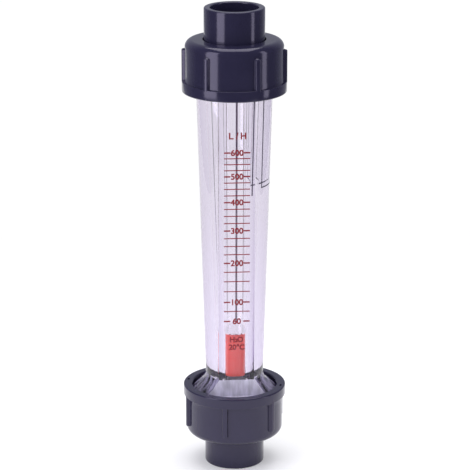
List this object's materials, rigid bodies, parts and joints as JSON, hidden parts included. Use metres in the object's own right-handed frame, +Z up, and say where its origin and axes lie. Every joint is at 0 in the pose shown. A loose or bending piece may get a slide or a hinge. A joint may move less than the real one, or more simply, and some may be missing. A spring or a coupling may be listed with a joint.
{
  "type": "rotameter",
  "caption": "Upright plastic tube flow meter with a tapered clear tube, a sliding float and two union nuts on pipe sockets.",
  "frame": {"origin": "middle of the lower socket's end face, where the meter stands", "axes": "+Z up along the tube, the way the water flows; the scale faces -Y; +X to the reader's right"},
  "size_m": [0.0438, 0.0438, 0.2],
  "materials": {
    "clear_tube": "polished",
    "clear_stop": "moulded",
    "red_float": "moulded",
    "steel_weight": "turned",
    "charcoal_pvc": "moulded",
    "black_rubber": "moulded"
  },
  "bodies": {
    "tube": {"metering_tube": "clear_tube", "lower_float_stop": "clear_stop", "upper_float_stop": "clear_stop"},
    "float": {"float_body": "red_float", "float_weight": "steel_weight", "float_plug": "red_float"},
    "lower_end": {"lower_socket_end": "charcoal_pvc", "lower_o_ring": "black_rubber"},
    "lower_nut": {"lower_union_nut": "charcoal_pvc"},
    "upper_end": {"upper_socket_end": "charcoal_pvc", "upper_o_ring": "black_rubber"},
    "upper_nut": {"upper_union_nut": "charcoal_pvc"}
  },
  "joints": [
    {"name": "float_travel", "type": "slide", "parent": "tube", "child": "float", "axis": [0, 0, 1], "range_m": [0, 0.1051]},
    {"name": "lower_union_draw", "type": "slide", "parent": "tube", "child": "lower_end", "axis": [0, 0, -1], "range_m": [0, 0.009]},
    {"name": "lower_nut_turn", "type": "hinge", "parent": "lower_end", "child": "lower_nut", "pos_m": [0, 0, 0.0244], "axis": [0, 0, -1], "range_deg": [0, 1080]},
    {"name": "upper_union_draw", "type": "slide", "parent": "tube", "child": "upper_end", "axis": [0, 0, 1], "range_m": [0, 0.009]},
    {"name": "upper_nut_turn", "type": "hinge", "parent": "upper_end", "child": "upper_nut", "pos_m": [0, 0, 0.1756], "axis": [0, 0, 1], "range_deg": [0, 1080]}
  ],
  "couplings": [
    {"joint": "lower_union_draw", "follows": "lower_nut_turn", "m_per_rad": 0.00047746},
    {"joint": "upper_union_draw", "follows": "upper_nut_turn", "m_per_rad": 0.00047746}
  ]
}
